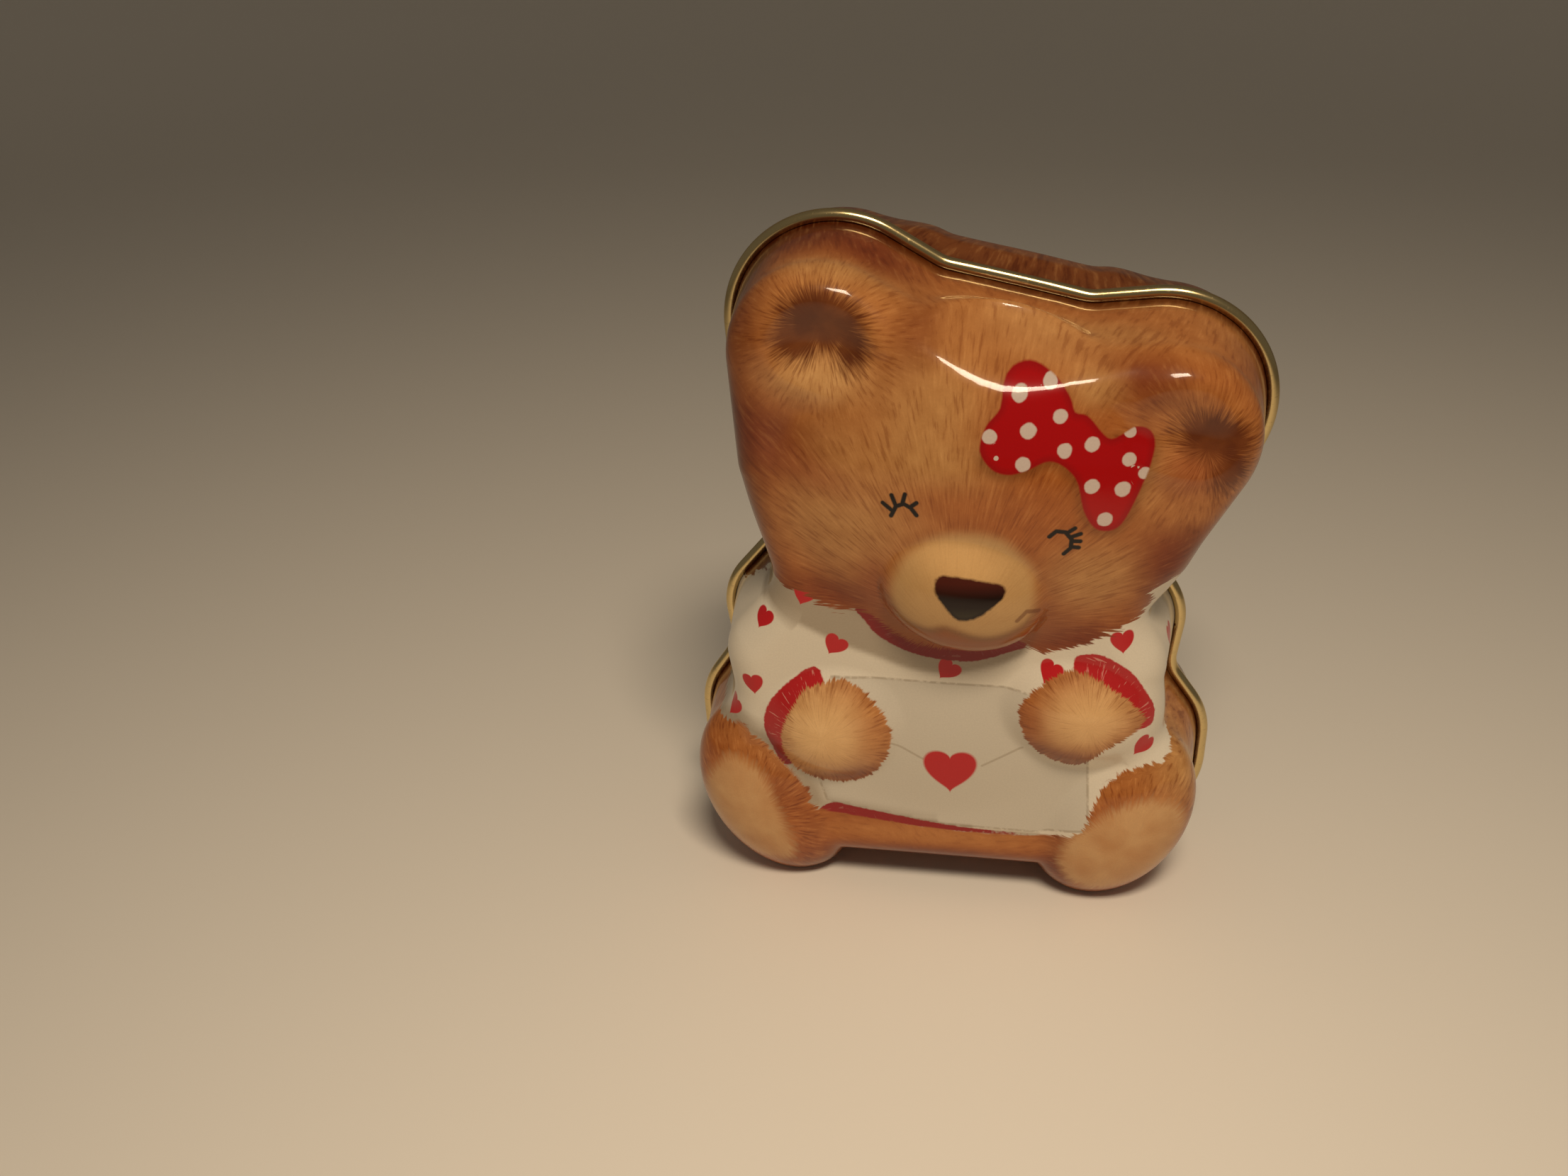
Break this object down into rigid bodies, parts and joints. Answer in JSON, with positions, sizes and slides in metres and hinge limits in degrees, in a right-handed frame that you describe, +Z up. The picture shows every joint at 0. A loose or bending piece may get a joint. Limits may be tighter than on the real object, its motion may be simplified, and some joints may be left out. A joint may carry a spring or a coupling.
{
  "type": "tin money box",
  "caption": "Teddy-bear-shaped tinplate money box in two drawn halves: an embossed printed front with a curled rim that pulls off a back with a coin slot.",
  "frame": {"origin": "middle of the whole box's footprint, on the surface it stands on", "axes": "+Z up, the bear faces -Y, +X towards the bear's lower ear; the halves part along Y"},
  "size_m": [0.1, 0.054, 0.1207],
  "materials": {
    "front_print": "glossy varnished litho print of a teddy bear on tinplate, gold lacquer on the curled rim and inside",
    "back_print": "glossy varnished litho print of brown fur on tinplate, gold lacquer inside"
  },
  "bodies": {
    "back": {"back_shell": "back_print"},
    "front": {"front_shell": "front_print"}
  },
  "joints": [
    {"name": "front_pull", "type": "slide", "parent": "back", "child": "front", "axis": [0, -1, 0], "range_m": [0, 0.045]}
  ]
}
